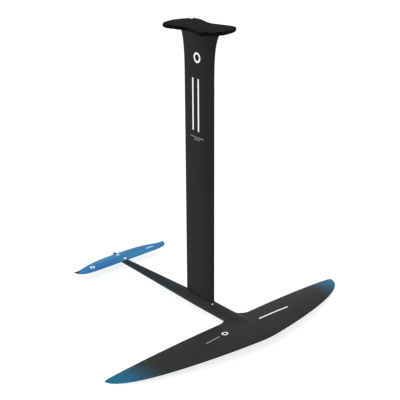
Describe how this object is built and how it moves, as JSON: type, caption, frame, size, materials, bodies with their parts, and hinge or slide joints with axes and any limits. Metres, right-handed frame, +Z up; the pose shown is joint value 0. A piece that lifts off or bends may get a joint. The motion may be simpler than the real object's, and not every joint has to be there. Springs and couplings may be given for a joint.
{
  "type": "hydrofoil",
  "caption": "Hydrofoil for a board: a blade mast with a slotted top plate, a front wing moulded to its fuselage, and a screw-on tail stabiliser.",
  "frame": {"origin": "middle of the top plate's upper face, which the board rests on", "axes": "+X forward, towards the front wing; +Y to port, along the span; +Z up, out of the plate towards the board"},
  "size_m": [0.6751, 0.8182, 0.7914],
  "materials": {
    "foil_carbon": "satin carbon laminate, its wing tips fading to blue",
    "mast_carbon": "satin carbon laminate",
    "plate_laminate": "satin moulded laminate",
    "blue_skin": "blue lacquer over laminate",
    "screw_steel": "stainless steel",
    "insert_steel": "turned stainless steel",
    "socket_alloy": "anodised",
    "solid_laminate": "solid carbon laminate, hidden",
    "foam": "closed-cell foam, hidden"
  },
  "bodies": {
    "foil": {"foil_upper_shell": "foil_carbon", "foil_lower_shell": "foil_carbon", "wing_core_port": "foam", "wing_core_starboard": "foam", "wing_spar": "solid_laminate", "nose_block_front": "solid_laminate", "nose_block_rear": "solid_laminate", "mast_socket": "socket_alloy", "boom_core": "foam", "tail_block": "solid_laminate", "tail_inserts": "insert_steel"},
    "mast": {"mast_skin_port": "mast_carbon", "mast_skin_starboard": "mast_carbon", "mast_core_front": "foam", "mast_core_rear": "foam", "mast_web": "solid_laminate", "mast_head_block": "solid_laminate", "mast_foot_block": "solid_laminate", "mast_foot_inserts": "insert_steel", "top_plate": "plate_laminate"},
    "stabiliser": {"stabiliser_upper_skin": "blue_skin", "stabiliser_lower_skin": "blue_skin", "stabiliser_core": "foam", "stabiliser_ferrules": "insert_steel"},
    "mast_screw_front": {"mast_screw_front": "screw_steel"},
    "mast_screw_rear": {"mast_screw_rear": "screw_steel"},
    "stabiliser_screw_front": {"stabiliser_screw_front": "screw_steel"},
    "stabiliser_screw_rear": {"stabiliser_screw_rear": "screw_steel"},
    "lock_screw": {"lock_screw": "screw_steel"}
  },
  "joints": [
    {"name": "mast_lift", "type": "slide", "parent": "foil", "child": "mast", "axis": [0, 0, 1], "range_m": [0, 0.06]},
    {"name": "stabiliser_lift", "type": "slide", "parent": "foil", "child": "stabiliser", "axis": [0, 0, 1], "range_m": [0, 0.03]},
    {"name": "mast_screw_front_turn", "type": "hinge", "parent": "foil", "child": "mast_screw_front", "pos_m": [0.036, 0, -0.78156], "axis": [0, 0, -1], "continuous": true},
    {"name": "mast_screw_rear_turn", "type": "hinge", "parent": "foil", "child": "mast_screw_rear", "pos_m": [0.004, 0, -0.78156], "axis": [0, 0, -1], "continuous": true},
    {"name": "stabiliser_screw_front_turn", "type": "hinge", "parent": "stabiliser", "child": "stabiliser_screw_front", "pos_m": [-0.3488, 0, -0.76], "axis": [0, 0, 1], "continuous": true},
    {"name": "stabiliser_screw_rear_turn", "type": "hinge", "parent": "stabiliser", "child": "stabiliser_screw_rear", "pos_m": [-0.3854, 0, -0.761], "axis": [0, 0, 1], "continuous": true},
    {"name": "lock_screw_turn", "type": "hinge", "parent": "foil", "child": "lock_screw", "pos_m": [0.0576, -0.0061, -0.749], "axis": [0, 0, 1], "continuous": true}
  ]
}
